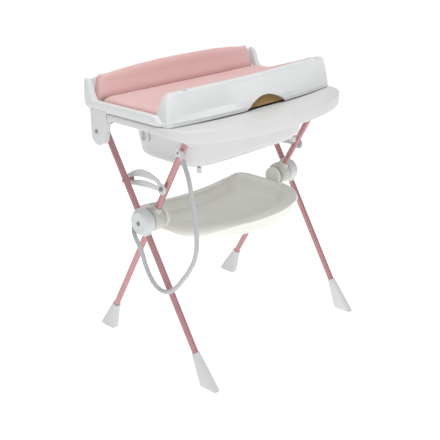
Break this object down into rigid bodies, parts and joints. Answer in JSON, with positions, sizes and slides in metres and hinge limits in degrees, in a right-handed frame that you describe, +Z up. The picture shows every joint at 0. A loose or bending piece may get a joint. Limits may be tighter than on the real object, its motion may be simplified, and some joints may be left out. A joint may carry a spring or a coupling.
{
  "type": "changing table",
  "caption": "Folding baby changing table with a bath tub, a padded hinged top, a storage tray and a drain hose on an X frame.",
  "frame": {"origin": "on the floor, at the middle of the rectangle that the four feet and the rim stand over", "axes": "+X along the long side to the viewer's right, -Y towards the front, +Z up"},
  "size_m": [0.83, 0.642, 0.974],
  "materials": {
    "tube_rose": "satin metallic rose lacquer",
    "hardware_steel": "zinc plated",
    "tube_steel": "satin metallic rose lacquer",
    "bath_white": "glossy moulded plastic",
    "tray_pearl": "pearly moulded plastic",
    "top_white": "satin moulded plastic",
    "fitting_white": "satin moulded plastic",
    "latch_nylon": "natural nylon",
    "pad_vinyl": "soft vinyl over foam",
    "rubber_grey": "matte",
    "hose_white": "flexible vinyl"
  },
  "bodies": {
    "outer_frame": {"outer_leg_left": "tube_rose", "outer_leg_right": "tube_rose", "front_foot_left": "fitting_white", "front_foot_right": "fitting_white", "outer_hub_left": "fitting_white", "outer_hub_right": "fitting_white", "hub_bolt_left": "hardware_steel", "hub_bolt_right": "hardware_steel", "latch_pin_left": "hardware_steel", "latch_pin_right": "hardware_steel", "tub_socket_left": "fitting_white", "tub_socket_right": "fitting_white", "hinge_screw_left": "hardware_steel", "hinge_screw_right": "hardware_steel", "rear_crossbar": "tube_steel", "bath_tub": "bath_white", "tub_feet": "bath_white", "hose_hook": "bath_white", "front_rest_left": "fitting_white", "front_rest_right": "fitting_white", "drain_fitting": "fitting_white", "drain_gasket": "rubber_grey"},
    "inner_frame": {"inner_leg_left": "tube_rose", "inner_leg_right": "tube_rose", "leg_cap_left": "fitting_white", "leg_cap_right": "fitting_white", "rear_foot_left": "fitting_white", "rear_foot_right": "fitting_white", "inner_hub_left": "fitting_white", "inner_hub_right": "fitting_white", "latch_pivot_left": "hardware_steel", "latch_pivot_right": "hardware_steel", "hose_eyelet": "fitting_white", "hose_clip": "fitting_white", "hose": "hose_white", "hose_nozzle": "hose_white", "hose_connector": "hose_white"},
    "latch_left": {"latch_left": "latch_nylon"},
    "latch_right": {"latch_right": "latch_nylon"},
    "storage_tray": {"storage_tray": "tray_pearl"},
    "drain_plug": {"drain_plug": "fitting_white"},
    "changing_top": {"changer_tray": "top_white", "hinge_arm_left": "fitting_white", "hinge_arm_right": "fitting_white", "rest_buffers": "rubber_grey", "pad_floor": "pad_vinyl", "pad_rear": "pad_vinyl", "pad_front": "pad_vinyl"}
  },
  "joints": [
    {"name": "leg_fold", "type": "hinge", "parent": "outer_frame", "child": "inner_frame", "pos_m": [0, 0.017, 0.5], "axis": [-1, 0, 0], "range_deg": [0, 50]},
    {"name": "latch_left_swing", "type": "hinge", "parent": "inner_frame", "child": "latch_left", "pos_m": [-0.35, -0.052, 0.625], "axis": [1, 0, 0], "range_deg": [0, 10]},
    {"name": "latch_right_swing", "type": "hinge", "parent": "inner_frame", "child": "latch_right", "pos_m": [0.35, -0.052, 0.625], "axis": [1, 0, 0], "range_deg": [0, 10]},
    {"name": "tray_swing", "type": "hinge", "parent": "outer_frame", "child": "storage_tray", "pos_m": [0, 0.017, 0.5], "axis": [1, 0, 0], "range_deg": [0, 56.5]},
    {"name": "changer_tilt", "type": "hinge", "parent": "outer_frame", "child": "changing_top", "pos_m": [0, 0.183, 0.782], "axis": [-1, 0, 0], "range_deg": [0, 100]},
    {"name": "plug_lift", "type": "slide", "parent": "outer_frame", "child": "drain_plug", "axis": [0, 0, 1], "range_m": [0, 0.04]}
  ],
  "couplings": [
    {"joint": "latch_left_swing", "follows": "leg_fold", "ratio": 0.2},
    {"joint": "latch_right_swing", "follows": "leg_fold", "ratio": 0.2},
    {"joint": "tray_swing", "follows": "leg_fold", "ratio": 1.126}
  ]
}
